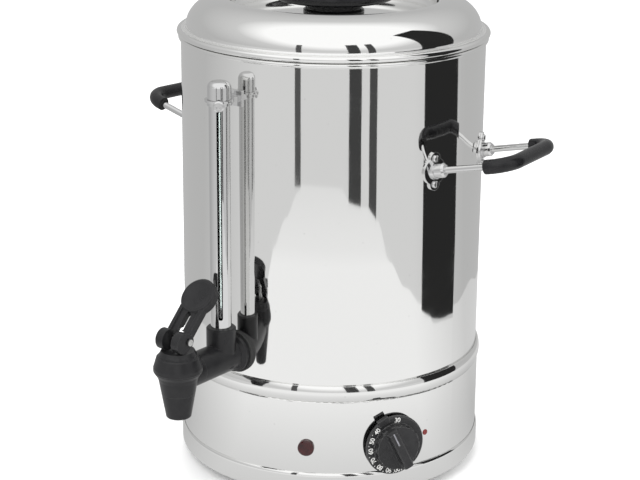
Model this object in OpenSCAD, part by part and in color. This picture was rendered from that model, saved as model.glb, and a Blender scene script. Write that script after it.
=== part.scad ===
// Hot water urn, ten litre catering size, for a counter.
// Millimetres. +Z is up, and the origin is on the drum's axis in the plane that it stands on.
// The tap faces -Y, and the handles stand out along +X and -X.

/* [Drum] */
// Outside radius of the drum
body_r = 120; // [110:1:130]
// Thickness of the drum's sheet
body_t = 1; // [0.8:0.1:1.5]
// Height of the drum's lower edge
drum_low = 86; // [84:1:88]
// Height of the drum's rolled top edge
drum_top = 349.4; // [340:0.2:360]
// Height of the underside of the tank's bottom plate
bottom_z = 100; // [98:1:102]

/* [Base] */
// Height of the rubber foot ring
foot_h = 8; // [7:0.5:9]
// Outside radius of the base pan's upturned rim
pan_r = 123; // [122.8:0.1:124]
// Height of the top of the base pan's rim
pan_top = 26.5; // [24:0.5:30]
// Outside radius of the base skirt
skirt_r = 121.6; // [121.2:0.1:121.7]
// Outside radius of the seam ring between the drum and the skirt
ring_r = 123; // [122.5:0.1:124]

/* [Lid] */
// Outside radius of the lid's rolled edge
lid_r = 123.2; // [122.8:0.1:124]
// Height of the lid's crest
lid_top = 379; // [376:0.5:382]
// Height of the sunken centre of the lid
dish_z = 366.5; // [365:0.5:368]
// Radius of the lid knob's cap
lid_knob_r = 49; // [44:1:52]
// Height of the top of the lid knob
lid_knob_top = 402; // [399:1:406]

/* [Tap] */
// Distance from the drum's axis to the spout's axis
spout_r = 188; // [186:1:190]
// Height of the tap's shank
shank_z = 117.5; // [117:0.5:118]
// Distance from the drum's axis to the joint of shank and valve barrel
shank_end = 169; // [168.6:0.1:169.2]
// Height of the bottom of the spout
spout_low = 85.5; // [82:0.5:88]
// Height of the lever's pin
lever_z = 147; // [146.8:0.1:147.4]
// How far the lever leans back at rest, in degrees
lever_lean = 45; // [40:1:48]
// Distance from the lever's pin to the centre of its thumb pad
lever_reach = 36; // [32:1:37]

/* [Sight gauge] */
// Distance from the drum's axis to the gauge's axis
gauge_r = 138.5; // [138:0.5:139]
// Outside radius of the gauge's guard tube
guard_r = 8; // [7.8:0.1:8.2]
// Height of the top of the gauge's cap
gauge_top = 334; // [328:0.5:336]
// Direction that the guard's slot faces, in degrees round from the tap
slot_turn = 38; // [0:1:60]

/* [Handles] */
// Distance from the drum's axis to the middle of a grip
grip_reach = 176; // [172:1:182]
// Half the distance between a handle's two arms
arm_half = 38; // [36:1:41]
// Height of the handles' lugs
lug_z = 262.5; // [255:0.5:275]
// How far the handles rise outwards, in degrees
handle_tilt = 12.5; // [9:0.5:14]
// Direction of the handles, in degrees round from the tap
handle_turn = 95; // [90:1:97]

/* [Controls] */
// Direction of the control knob, in degrees round from the tap
knob_turn = 61; // [57:1:64]
// Height of the control knob's shaft
knob_z = 48; // [47:0.5:52]
// Radius of the control knob's dial
dial_r = 24.2; // [22:0.2:25]
// Direction of the pilot lamp, in degrees round from the tap
lamp_turn = 28.6; // [26:0.2:32]
// Height of the pilot lamp
lamp_z = 47.5; // [45:0.5:52]

/* [Hidden] */
$fn = 96;
fit = 0.05;
// tap
bonnet_low = 122;
bonnet_top = 138.5;
chamber_r = 10;
seat_z = 112;
spout_joint_z = 104.5;
stem_r = 3.5;
pin_r = 1.5;
cheek_gap = 4.3;
hub_half = 11;
cam_r = 8;
hub_r = 5.5;
cam_offset = 4.5;
pad_r = 14.5;
lever_w = 21.6;
lever_t = 5;
socket_r = 11.4;
socket_top = 143;
guard_low = 131;
// lid
shoulder_c = [86, 356];
collar_top = 352;
shoulder_a = 30;
sheet = 0.9;
lid_bead_r = 2.4;
lid_bead_z = drum_top + 0.4 + lid_bead_r;
// handles
wire_r = 2.6;
grip_r = 5.6;
bend_r = 16;
lug_screw_z = 10;
arm_start = sqrt(body_r * body_r - arm_half * arm_half);
lug_turn = asin(arm_half / body_r);
tilt_cos = cos(handle_tilt);
arm_run = (grip_reach - arm_start) / tilt_cos;
// base
pan_floor = 1.2;
pan_wall = 1.2;
floor_z = foot_h + pan_floor;
skirt_t = 1.2;
// heating and controls
element_ring_r = 74;
element_r = 4;
element_z = 114;
element_gap = 14;
nut_h = 5;
knob_face = skirt_r + 2.2;
shaft_r = 3;

// Places children at a direction, distance and height, with their +Z pointing outwards.
module outward(turn, distance, height) {
    rotate([0, 0, turn]) translate([0, -distance, height]) rotate([90, 0, 0]) children();
}

// Places children upright at a direction and a distance.
module upright(turn, distance, height) {
    rotate([0, 0, turn]) translate([0, -distance, height]) children();
}

module tube(outer, inner, height) {
    difference() {
        cylinder(r = outer, h = height);
        translate([0, 0, -1]) cylinder(r = inner, h = height + 2);
    }
}

module hex(across_corners, height) {
    cylinder(r = across_corners / 2, h = height, $fn = 6);
}

// ---- drum and base ----

module tank() {
    color("silver") difference() {
        union() {
            rotate_extrude() {
                translate([body_r - body_t, drum_low]) square([body_t, drum_top - drum_low - 2]);
                translate([body_r + 0.2, drum_top - 1.8]) circle(r = 1.8, $fn = 32);
            }
        }
        outward(0, body_r - 5, shank_z) cylinder(r = 9.2, h = 12);
        outward(0, body_r - 5, gauge_top - 15.8) cylinder(r = 2, h = 12);
        for (side = [-1, 1], end = [-1, 1], up = [-1, 1])
            outward(side * handle_turn + end * lug_turn, body_r - 5, lug_z + up * lug_screw_z)
                cylinder(r = 1.6, h = 12);
    }
}

module tank_bottom() {
    color("gainsboro") difference() {
        translate([0, 0, bottom_z]) cylinder(r = body_r - body_t, h = body_t);
        for (end = [-1, 1])
            upright(180 + end * element_gap, element_ring_r, bottom_z - 1) cylinder(r = element_r + 0.2, h = 4);
    }
}

module seam_ring() {
    color("gainsboro") rotate_extrude() intersection() {
        translate([body_r + 0.1, drum_low]) square([ring_r - body_r, 12.5]);
        translate([ring_r - 14, drum_low + 6.25]) circle(r = 14);
    }
}

module base_skirt() {
    color("silver") difference() {
        rotate_extrude() {
            translate([skirt_r - skirt_t, floor_z]) square([skirt_t, drum_low - floor_z - 1]);
            translate([skirt_r - 10, drum_low - skirt_t]) square([9, skirt_t]);
            intersection() {
                translate([skirt_r - 1, drum_low - 1]) circle(r = 1, $fn = 32);
                translate([skirt_r - 1, drum_low - 1]) square(2);
            }
        }
        outward(lamp_turn, skirt_r - 6, lamp_z) cylinder(r = 5, h = 10);
        outward(knob_turn, skirt_r - 6, knob_z) cylinder(r = 5.2, h = 10);
        outward(180, skirt_r - 6, 40) cylinder(r = 8.1, h = 10);
    }
}

module base_pan() {
    rim_r = 5;
    vent_count = 10;
    color("gainsboro") difference() {
        rotate_extrude() difference() {
            union() {
                translate([0, foot_h]) square([pan_r - 3, pan_floor]);
                translate([pan_r - 3, foot_h + 3]) circle(r = 3, $fn = 32);
                translate([pan_r - pan_wall, foot_h + 3]) square([pan_wall, pan_top - rim_r - foot_h - 1.4]);
                // rim that curves in over the skirt
                translate([pan_r - rim_r, pan_top - rim_r + 1.6]) circle(r = rim_r);
            }
            translate([-1, floor_z]) square([pan_r - pan_wall - 2 + 1, 30]);
            translate([pan_r - pan_wall - 12, floor_z]) square([12, 30]);
        }
        for (i = [0 : vent_count - 1]) rotate([0, 0, i * 360 / vent_count + 9]) {
            translate([35, -2.5, foot_h - 1]) cube([30, 5, 4]);
            translate([35, 0, foot_h - 1]) cylinder(r = 2.5, h = 4);
            translate([65, 0, foot_h - 1]) cylinder(r = 2.5, h = 4);
        }
        for (i = [0 : 3]) upright(45 + i * 90, 96, foot_h - 1) cylinder(r = 2.1, h = 4);
        translate([0, 0, foot_h - 1]) cylinder(r = 3.2, h = 4);
    }
}

module foot_ring() {
    color("black") difference() {
        rotate_extrude() polygon([
            [88, 0], [104, 0], [105.4, 1], [106, foot_h], [86, foot_h], [86.6, 1]
        ]);
        for (i = [0 : 3]) upright(45 + i * 90, 96, 0) {
            translate([0, 0, -1]) cylinder(r = 4.5, h = 5);
            cylinder(r = 2.1, h = foot_h + 1);
        }
    }
}

module foot_screws() {
    color("silver") for (i = [0 : 3]) upright(45 + i * 90, 96, 0) {
        translate([0, 0, 2]) cylinder(r = 4, h = 2);
        translate([0, 0, 2]) cylinder(r = 2, h = floor_z + 4);
        translate([0, 0, floor_z]) hex(8, 3);
    }
}

module tie_stud() {
    color("silver") translate([0, 0, 2.5]) cylinder(r = 3, h = bottom_z - 2.5);
}

module tie_nut() {
    color("silver") translate([0, 0, foot_h - 5]) difference() {
        union() {
            hex(11.5, 4);
            translate([0, 0, 4]) cylinder(r = 9, h = 1);
        }
        translate([0, 0, -1]) cylinder(r = 3, h = 8);
    }
}

// ---- heating and controls ----

module heating_element() {
    sweep = 360 - 2 * element_gap;
    color("dimgray") union() {
        rotate([0, 0, 90 + element_gap]) rotate_extrude(angle = sweep)
            translate([element_ring_r, 0]) translate([0, element_z]) circle(r = element_r);
        for (end = [-1, 1]) upright(180 + end * element_gap, element_ring_r, 0) {
            translate([0, 0, element_z]) sphere(r = element_r + 0.3);
            translate([0, 0, 84]) cylinder(r = element_r, h = element_z - 84);
            translate([0, 0, 76]) cylinder(r = 1.5, h = 9);
        }
    }
}

module element_seals() {
    color("dimgray") for (end = [-1, 1])
        upright(180 + end * element_gap, element_ring_r, bottom_z + body_t) tube(8, element_r, 3);
}

module element_nuts() {
    color("goldenrod") for (end = [-1, 1])
        upright(180 + end * element_gap, element_ring_r, bottom_z - nut_h) difference() {
            hex(17, nut_h);
            translate([0, 0, -1]) cylinder(r = element_r, h = nut_h + 2);
        }
}

module boil_dry_cutout() {
    color("ivory") upright(-90, 40, bottom_z) {
        translate([0, 0, -4]) cylinder(r = 12, h = 4);
        translate([0, 0, -12]) cylinder(r = 8, h = 8);
        for (side = [-1, 1]) translate([side * 5 - 0.4, -3, -19]) cube([0.8, 6, 8]);
    }
}

module thermostat_body() {
    color("ivory") outward(knob_turn, 0, knob_z) difference() {
        union() {
            translate([-18, -16, 84]) cube([36, 32, 26]);
            translate([0, 0, 109]) cylinder(r = 9, h = 8);
            translate([0, 0, 113]) cylinder(r = 5, h = skirt_r - 112.6);
            for (side = [-1, 1]) translate([side * 10 - 3, -0.4, 76]) cube([6, 0.8, 9]);
        }
        translate([0, 0, 100]) cylinder(r = shaft_r + fit, h = 40);
    }
}

module thermostat_bulb() {
    bulb_r = 3;
    lead_r = 1;
    bulb_z = bottom_z - bulb_r;
    color("peru") rotate([0, 0, knob_turn]) {
        translate([-35, -30, bulb_z]) rotate([0, 90, 0]) cylinder(r = bulb_r, h = 70);
        translate([35, -30, bulb_z]) rotate([0, 90, 0]) cylinder(r = lead_r, h = 12);
        translate([47, -30, bulb_z]) sphere(r = lead_r, $fn = 24);
        translate([47, -30, knob_z]) cylinder(r = lead_r, h = bulb_z - knob_z);
        translate([47, -30, knob_z]) sphere(r = lead_r, $fn = 24);
        translate([47, -30, knob_z]) rotate([90, 0, 0]) cylinder(r = lead_r, h = 62);
        translate([47, -92, knob_z]) sphere(r = lead_r, $fn = 24);
        translate([18, -92, knob_z]) rotate([0, 90, 0]) cylinder(r = lead_r, h = 29);
    }
}

module bulb_clip() {
    color("silver") rotate([0, 0, knob_turn]) translate([0, -30, bottom_z - 7.5]) difference() {
        translate([-6, -8, 0]) cube([12, 16, 7.5]);
        translate([-8, 0, 4.5]) rotate([0, 90, 0]) cylinder(r = 3, h = 16);
        translate([-8, -3, 4.5]) cube([16, 6, 4]);
        for (side = [-1, 1]) translate([-8, side * 7 - 2.5, -1]) cube([16, 5, 7]);
    }
}

module terminal_block() {
    color("ivory") upright(180, 88, floor_z) difference() {
        translate([-18, -9, 0]) cube([36, 18, 16]);
        for (i = [-1 : 1]) {
            translate([i * 11, 4, 6]) cylinder(r = 2.5, h = 20);
            translate([i * 11, -4, 6]) cylinder(r = 2.5, h = 20);
            translate([i * 11, -20, 6]) rotate([-90, 0, 0]) cylinder(r = 2, h = 8.5 + 6);
        }
    }
}

module cable_gland() {
    color("black") outward(180, skirt_r, 40) difference() {
        union() {
            translate([0, 0, -14]) cylinder(r = 8, h = 15);
            translate([0, 0, 0.9]) hex(24, 5);
            translate([0, 0, 5.9]) cylinder(r = 9.5, h = 3);
            translate([0, 0, 8.9]) cylinder(r1 = 9.5, r2 = 6.5, h = 6);
        }
        translate([0, 0, -20]) cylinder(r = 4.5, h = 40);
    }
}

module gland_nut() {
    color("black") outward(180, skirt_r - skirt_t - 5.2, 40) difference() {
        hex(22, 4.4);
        translate([0, 0, -1]) cylinder(r = 8, h = 8);
    }
}

module pilot_lamp_lens() {
    color("darkred") outward(lamp_turn, skirt_r, lamp_z) difference() {
        union() {
            cylinder(r = 6.4, h = 2);
            translate([0, 0, 2]) cylinder(r1 = 6.4, r2 = 5.4, h = 1);
            translate([0, 0, -9]) cylinder(r = 4.9, h = 10);
        }
        translate([0, 0, -10]) cylinder(r = 3.6, h = 11);
    }
}

module pilot_lamp_body() {
    color("ivory") outward(lamp_turn, skirt_r, lamp_z) {
        translate([0, 0, -8]) cylinder(r = 2.8, h = 8);
        translate([0, 0, -17]) cylinder(r = 4.9, h = 8);
        translate([0, 0, -9]) cylinder(r = 2.8, h = 2);
        for (side = [-1, 1]) translate([side * 2.5 - 0.3, -1.5, -25]) cube([0.6, 3, 9]);
    }
}

module control_shaft() {
    shaft_low = 102;
    color("silver") outward(knob_turn, shaft_low, knob_z) difference() {
        cylinder(r = shaft_r, h = knob_face + 9.7 - shaft_low);
        translate([-5, 1.6, knob_face - 1 - shaft_low]) cube([10, 5, 12]);
    }
}

module control_knob() {
    dial_t = 2.4;
    drum_r = 18.4;
    drum_h = 8.5;
    grip_h = 15;
    grip_turn = 116;
    flutes = 14;
    color([0.13, 0.13, 0.14]) outward(knob_turn, knob_face, knob_z) difference() {
        union() {
            cylinder(r = dial_r - 0.8, h = dial_t);
            cylinder(r = dial_r, h = dial_t - 0.8);
            // pointer ear on the dial's edge
            rotate([0, 0, grip_turn]) translate([dial_r - 3, -4.6, 0]) cube([4.8, 9.2, dial_t + 1.2]);
            difference() {
                union() {
                    cylinder(r = drum_r, h = drum_h - 1);
                    translate([0, 0, drum_h - 1]) cylinder(r1 = drum_r, r2 = drum_r - 1, h = 1);
                }
                for (i = [0 : flutes - 1]) rotate([0, 0, (i + 0.5) * 360 / flutes])
                    translate([drum_r + 2.2, 0, dial_t + 0.4]) cylinder(r = 3.4, h = 30);
            }
            // grip bar with spread flanks, rounded over at its ends
            rotate([0, 0, grip_turn]) intersection() {
                rotate([90, 0, 90]) translate([0, 0, -22]) linear_extrude(44) polygon([
                    [-7, drum_h - 1.5], [-7, drum_h], [-5, drum_h + 0.9], [-4.1, drum_h + 2.6], [-3.7, grip_h - 0.7],
                    [-3, grip_h], [3, grip_h], [3.7, grip_h - 0.7], [4.1, drum_h + 2.6], [5, drum_h + 0.9],
                    [7, drum_h], [7, drum_h - 1.5]
                ]);
                union() {
                    translate([0, 0, drum_h - 2]) cylinder(r = drum_r - 0.5, h = 5);
                    translate([0, 0, drum_h + 3]) cylinder(r1 = drum_r - 0.5, r2 = drum_r - 3, h = grip_h - drum_h);
                }
            }
        }
        // groove for the pointer line
        rotate([0, 0, grip_turn]) translate([5, -0.6, grip_h - 0.5]) cube([20, 1.2, 3]);
        translate([0, 0, -1]) difference() {
            cylinder(r = shaft_r, h = 11.2);
            translate([-5, 1.6, 0]) cube([10, 5, 20]);
        }
    }
}

// ---- tap ----

module tap_body() {
    color([0.15, 0.15, 0.16]) difference() {
        union() {
            // valve barrel, with the stub that meets the shank
            upright(0, spout_r, 0) rotate_extrude() polygon([
                [0, 96], [9.9, 96], [9.9, spout_joint_z], [12.8, spout_joint_z], [14.6, 115],
                [15.8, 118.4], [18, bonnet_low - 0.6], [18, bonnet_low], [0, bonnet_low]
            ]);
            outward(0, shank_end, shank_z) cylinder(r = 12.3, h = spout_r - 4 - shank_end);
        }
        // room for the bonnet over the stub
        upright(0, spout_r, bonnet_low) cylinder(r = 18.7, h = 20);
        // water way, valve chamber and seat
        outward(0, shank_end - 5, shank_z) cylinder(r = 4.4, h = spout_r - shank_end + 5);
        upright(0, spout_r, seat_z) cylinder(r = chamber_r, h = 20);
        upright(0, spout_r, 90) cylinder(r = 6, h = 30);
    }
}

module tap_shank() {
    color([0.15, 0.15, 0.16]) difference() {
        union() {
            // threaded end inside the tank, flange on the wall, and shank
            outward(0, 98, shank_z) cylinder(r = 9, h = 26);
            outward(0, 122, shank_z) cylinder(r = 15, h = 4);
            outward(0, 126, shank_z) cylinder(r1 = 15, r2 = 12.3, h = 2);
            outward(0, 125, shank_z) cylinder(r = 12.3, h = shank_end - 125);
            // gauge socket
            upright(0, gauge_r, shank_z - 6) cylinder(r = socket_r, h = socket_top - shank_z + 5);
            upright(0, gauge_r, socket_top - 1) cylinder(r1 = socket_r, r2 = socket_r - 1, h = 1);
        }
        outward(0, 90, shank_z) cylinder(r = 4.4, h = spout_r - 90);
        // gauge bore, stepped for the guard, the seal and the feed
        upright(0, gauge_r, guard_low - 7) cylinder(r = 6.5, h = 30);
        upright(0, gauge_r, guard_low) cylinder(r = guard_r, h = 30);
        upright(0, gauge_r, shank_z) cylinder(r = 2.5, h = 20);
    }
}

module tap_wall_washer() {
    color("black") difference() {
        outward(0, 116, shank_z) tube(16.5, 9.2, 6);
        cylinder(r = body_r, h = 200, $fn = 256);
    }
}

module tap_inner_washer() {
    color("black") intersection() {
        outward(0, 116.5, shank_z) tube(15, 9.2, 6);
        cylinder(r = body_r - body_t, h = 200, $fn = 256);
    }
}

module tap_lock_nut() {
    color("goldenrod") outward(0, 110.5, shank_z) difference() {
        hex(30, 6);
        translate([0, 0, -1]) cylinder(r = 9, h = 10);
    }
}

module tap_spout() {
    color([0.2, 0.2, 0.21]) upright(0, spout_r, 0) rotate_extrude() polygon([
        [6.5, spout_low], [8.9, spout_low], [9.5, spout_low + 0.6], [12.8, spout_joint_z],
        [9.9, spout_joint_z], [9.9, 96], [7.2, 96]
    ]);
}

module tap_bonnet() {
    color([0.15, 0.15, 0.16]) upright(0, spout_r, 0) difference() {
        rotate_extrude() polygon([
            [0, bonnet_low], [18.2, bonnet_low], [18.6, bonnet_low + 0.6], [18.6, 125.4],
            [16.2, 133.4], [15.4, 134.2], [14.4, 134.4], [14.4, 135.2], [12.6, bonnet_top], [0, bonnet_top]
        ]);
        translate([0, 0, bonnet_low - 1]) cylinder(r = 12, h = 13.5);
        cylinder(r = stem_r + fit, h = 200);
    }
}

module valve_stem() {
    color("silver") upright(0, spout_r, 0) difference() {
        union() {
            translate([0, 0, 113.5]) cylinder(r = stem_r, h = lever_z + 3.8 - 113.5);
            translate([0, 0, 117]) cylinder(r = 7, h = 1.5);
        }
        translate([-10, 0, lever_z]) rotate([0, 90, 0]) cylinder(r = pin_r, h = 20);
    }
}

module valve_cup() {
    color("white") upright(0, spout_r, seat_z) rotate_extrude() polygon([
        [0, 0], [8.4, 0], [8.4, 1.6], [6.4, 3], [6.4, 5], [stem_r, 5], [stem_r, 1.5], [0, 1.5]
    ]);
}

// The spring is one tube swept along a helix by the functions below.
spring_low = 119.2;
spring_high = 133.7;
spring_turns = 6;
spring_r = 5.6;
spring_wire = 0.6;
spring_sides = 6;
spring_steps = 14;

function helix(a) = [
    spring_r * cos(a), spring_r * sin(a),
    spring_low + (spring_high - spring_low) * a / (360 * spring_turns)
];
function spring_ring(a) = [
    for (k = [0 : spring_sides - 1])
        let (b = 360 * k / spring_sides)
        helix(a) + [cos(a), sin(a), 0] * spring_wire * cos(b) + [0, 0, spring_wire * sin(b)]
];

module valve_spring() {
    count = spring_turns * spring_steps;
    rings = [for (i = [0 : count]) each spring_ring(i * 360 / spring_steps)];
    sides = [
        for (i = [0 : count - 1], k = [0 : spring_sides - 1])
            let (a = i * spring_sides + k, b = i * spring_sides + (k + 1) % spring_sides)
            each [[a, b, b + spring_sides], [a, b + spring_sides, a + spring_sides]]
    ];
    first = [for (k = [1 : spring_sides - 2]) [0, k + 1, k]];
    last = [for (k = [1 : spring_sides - 2]) [0, k, k + 1] + [1, 1, 1] * count * spring_sides];
    color("silver") upright(0, spout_r, 0) polyhedron(rings, concat(sides, first, last));
}

module lever_pin() {
    color("silver") upright(0, spout_r, lever_z) rotate([0, 90, 0]) {
        translate([0, 0, -hub_half - 1.4]) cylinder(r = pin_r, h = 2 * hub_half + 2.8);
        for (side = [-1, 1]) translate([0, 0, side * (hub_half + 1.4) - 0.7]) cylinder(r = 2.6, h = 1.4);
    }
}

module tap_lever() {
    slot_w = 5;
    color([0.14, 0.14, 0.15]) upright(0, spout_r, lever_z) difference() {
        union() {
            // two cam cheeks that ride on the bonnet as the lever is pulled forward
            for (side = [-1, 1]) translate([side * (hub_half + cheek_gap) / 2, 0, 0]) rotate([0, 90, 0]) {
                translate([0, -cam_offset, 0]) cylinder(r = cam_r, h = hub_half - cheek_gap, center = true);
                cylinder(r = hub_r, h = hub_half - cheek_gap, center = true);
            }
            rotate([-lever_lean, 0, 0]) {
                // strap, with raised rails along its edges
                translate([-lever_w / 2, -lever_t / 2, 2]) cube([lever_w, lever_t, lever_reach - 10]);
                for (side = [-1, 1]) translate([side * (lever_w / 2 - 1.5) - 1.5, -lever_t / 2 - 1, 2])
                    cube([3, lever_t + 1, lever_reach - 12]);
                // thumb pad, slightly dished
                translate([0, lever_t / 2, lever_reach]) rotate([90, 0, 0]) cylinder(r = pad_r, h = lever_t + 0.6);
                translate([0, -lever_t / 2 - 0.5, lever_reach]) rotate([90, 0, 0])
                    cylinder(r1 = pad_r, r2 = pad_r - 1.2, h = 1.2);
            }
        }
        // room for the stem's head
        translate([-cheek_gap, -16, -14]) cube([2 * cheek_gap, 32, 20.2]);
        translate([-20, 0, 0]) rotate([0, 90, 0]) cylinder(r = pin_r + fit, h = 40);
        rotate([-lever_lean, 0, 0]) {
            // long slot between the rails
            translate([-slot_w / 2, -10, 8.5]) cube([slot_w, 20, lever_reach - 25]);
            translate([0, -10, 8.5]) rotate([-90, 0, 0]) cylinder(r = slot_w / 2, h = 20);
            translate([0, -10, lever_reach - 16.5]) rotate([-90, 0, 0]) cylinder(r = slot_w / 2, h = 20);
            translate([0, -lever_t / 2 - 45.2, lever_reach]) sphere(r = 45, $fn = 128);
        }
    }
}

// ---- sight gauge ----

module gauge_glass() {
    color([0.8, 0.9, 0.95, 0.5]) upright(0, gauge_r, guard_low - 4) tube(5.5, 4.3, gauge_top - guard_low - 4);
}

module gauge_seal() {
    color("white") upright(0, gauge_r, guard_low - 7) tube(6.5, 2.6, 3);
}

module gauge_guard() {
    slot_w = 3.6;
    slot_low = 152;
    slot_high = gauge_top - 22;
    color("silver") upright(0, gauge_r, 0) difference() {
        translate([0, 0, guard_low]) tube(guard_r, guard_r - 0.9, gauge_top - 12 - guard_low);
        rotate([0, 0, slot_turn]) {
            translate([-slot_w / 2, -guard_r - 1, slot_low]) cube([slot_w, 6, slot_high - slot_low]);
            for (end = [slot_low, slot_high]) translate([0, -guard_r - 1, end])
                rotate([-90, 0, 0]) cylinder(r = slot_w / 2, h = 6);
        }
    }
}

module gauge_cap() {
    cap_r = 9;
    color("silver") upright(0, gauge_r, 0) difference() {
        union() {
            translate([0, 0, gauge_top - 13.5]) cylinder(r = cap_r, h = 13.5 - 4);
            rotate_extrude() intersection() {
                union() {
                    translate([0, gauge_top - 10]) square([cap_r - 5, 10]);
                    translate([cap_r - 5, gauge_top - 5]) circle(r = 5);
                }
                translate([0, gauge_top - 10]) square([cap_r, 10]);
            }
        }
        translate([0, 0, gauge_top - 14]) cylinder(r = guard_r, h = 2);
        translate([0, 0, gauge_top - 14]) cylinder(r = 5.6, h = 8);
    }
}

module gauge_bracket() {
    band_z = gauge_top - 18;
    color("silver") difference() {
        union() {
            upright(0, gauge_r, band_z) cylinder(r = guard_r + 1.2, h = 4.4);
            upright(0, gauge_r, band_z + 2.8) cylinder(r = guard_r + 3, h = 1.6);
            // boss for the clamp screw
            translate([0, -gauge_r, 0]) outward(slot_turn, 0, band_z + 1.2) intersection() {
                cylinder(r = 3.4, h = guard_r + 3);
                translate([-6, -1.2, 0]) cube([12, 4.4, 20]);
            }
            upright(0, 132, band_z) translate([-5, -6, 0]) cube([10, 20, 4.4]);
            // foot that lies on the drum
            intersection() {
                outward(0, 100, band_z + 2.2) translate([-7, -6, 0]) cube([14, 12, 40]);
                cylinder(r = body_r + 1.6, h = 400);
            }
        }
        cylinder(r = body_r, h = 400);
        upright(0, gauge_r, 0) cylinder(r = guard_r, h = 400);
    }
}

module bracket_screw() {
    band_z = gauge_top - 18;
    color("silver") translate([0, -gauge_r, 0]) outward(slot_turn, guard_r + 3, band_z + 1.2) difference() {
        union() {
            cylinder(r = 4.2, h = 1.4);
            translate([0, 0, 1.4]) cylinder(r1 = 4.2, r2 = 3.2, h = 0.8);
        }
        translate([0, 0, 0.9]) cylinder(r = 1.7, h = 3, $fn = 6);
    }
}

module bracket_rivet() {
    color("silver") outward(0, body_r - body_t - 1.5, gauge_top - 15.8) {
        cylinder(r = 3.5, h = 1.3);
        cylinder(r = 1.9, h = 2.5);
    }
}

// ---- handles ----

// Puts children in a handle's own plane: +X outwards along the arms, from the drum's wall.
module handle_plane(side) {
    rotate([0, 0, side > 0 ? handle_turn - 90 : 270 - handle_turn]) translate([arm_start, 0, lug_z]) rotate([0, -handle_tilt, 0]) children();
}

// A U of round section, from a start along each arm to the bar.
module u_bar(section, start) {
    straight = arm_run - bend_r - start;
    for (end = [-1, 1]) {
        translate([start, end * arm_half, 0]) rotate([0, 90, 0]) cylinder(r = section, h = straight);
        translate([arm_run - bend_r, end * (arm_half - bend_r), 0])
            rotate([0, 0, end > 0 ? 0 : -90]) rotate_extrude(angle = 90) translate([bend_r, 0]) circle(r = section);
    }
    translate([arm_run, -(arm_half - bend_r), 0]) rotate([-90, 0, 0])
        cylinder(r = section, h = 2 * (arm_half - bend_r));
}

module handle_wire(side) {
    color("silver") handle_plane(side) u_bar(wire_r, 3);
}

module handle_grip(side) {
    grip_start = arm_run - bend_r - 3;
    color([0.12, 0.12, 0.13]) handle_plane(side) difference() {
        u_bar(grip_r, grip_start);
        u_bar(wire_r, grip_start - 5);
    }
}

module handle_lugs(side) {
    color("silver") difference() {
        for (end = [-1, 1]) {
            // curved plate on the drum, round with an ear for each screw
            intersection() {
                outward(side * handle_turn + end * lug_turn, 100, lug_z) {
                    cylinder(r = 10.5, h = 40);
                    translate([-4.8, -lug_screw_z, 0]) cube([9.6, 2 * lug_screw_z, 40]);
                    for (up = [-1, 1]) translate([0, up * lug_screw_z, 0]) cylinder(r = 4.8, h = 40);
                }
                cylinder(r = body_r + 1.8, h = 400);
            }
            // socket for the wire, with a collar at its root
            handle_plane(side) translate([-4, end * arm_half, 0]) rotate([0, 90, 0]) {
                cylinder(r = 5.6, h = 13);
                translate([0, 0, 13]) cylinder(r1 = 5.6, r2 = 4.2, h = 1.6);
                cylinder(r = 6.4, h = 6.6);
            }
        }
        cylinder(r = body_r, h = 400);
        handle_plane(side) for (end = [-1, 1]) translate([3, end * arm_half, 0])
            rotate([0, 90, 0]) cylinder(r = wire_r, h = 20);
        for (end = [-1, 1], up = [-1, 1])
            outward(side * handle_turn + end * lug_turn, body_r - 5, lug_z + up * lug_screw_z)
                cylinder(r = 1.6, h = 12);
    }
}

module lug_nuts() {
    color("silver") for (side = [-1, 1], end = [-1, 1], up = [-1, 1])
        outward(side * handle_turn + end * lug_turn, body_r - body_t - 2.6, lug_z + up * lug_screw_z) difference() {
            hex(7, 2.5);
            translate([0, 0, -1]) cylinder(r = 1.5, h = 6);
        }
}

module lug_screws() {
    color("silver") for (side = [-1, 1], end = [-1, 1], up = [-1, 1])
        outward(side * handle_turn + end * lug_turn, body_r + 1.8, lug_z + up * lug_screw_z) {
            translate([0, 0, -6.8]) cylinder(r = 1.5, h = 8);
            difference() {
                union() {
                    cylinder(r = 2.8, h = 0.8);
                    translate([0, 0, 0.8]) cylinder(r1 = 2.8, r2 = 2, h = 0.8);
                }
                translate([-0.4, -4, 1]) cube([0.8, 8, 2]);
            }
        }
}

// ---- lid ----

// Outline of the lid's sheet, set in from its outer face by a thickness.
function lid_line(inset) = let (b = lid_top - shoulder_c[1]) [
    for (a = [0 : 9 : 90])
        [shoulder_c[0] + (shoulder_a - inset) * cos(a), shoulder_c[1] + (b - inset) * sin(a)],
    for (a = [105 : 15 : 180])
        [shoulder_c[0] + (5 - inset) * cos(a), lid_top - 5 + (5 - inset) * sin(a)],
    for (a = [0 : 15 : 90])
        [shoulder_c[0] - 11 + (6 + inset) * cos(a), dish_z + 6 - (6 + inset) * sin(a)],
    [0, dish_z - inset]
];

module lid_shell() {
    outer = lid_line(0);
    inner = lid_line(sheet);
    back = [for (i = [len(inner) - 1 : -1 : 0]) inner[i]];
    color("silver") difference() {
        rotate_extrude() polygon(concat(
            outer, back,
            [[115.1, collar_top], [116, collar_top], [116, 353]],
            [for (a = [-160 : 20 : 100])
                [lid_r + lid_bead_r * (cos(a) - 1), lid_bead_z + lid_bead_r * sin(a)]],
            [[117, 354.7]]
        ));
        translate([0, 0, 300]) cylinder(r = 3.1, h = 100);
    }
}

// Ring welded under the sheet, which centres the lid in the drum.
module lid_collar() {
    color("silver") rotate_extrude() translate([115.1, drum_top - 7]) square([0.9, collar_top - drum_top + 7]);
}

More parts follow.
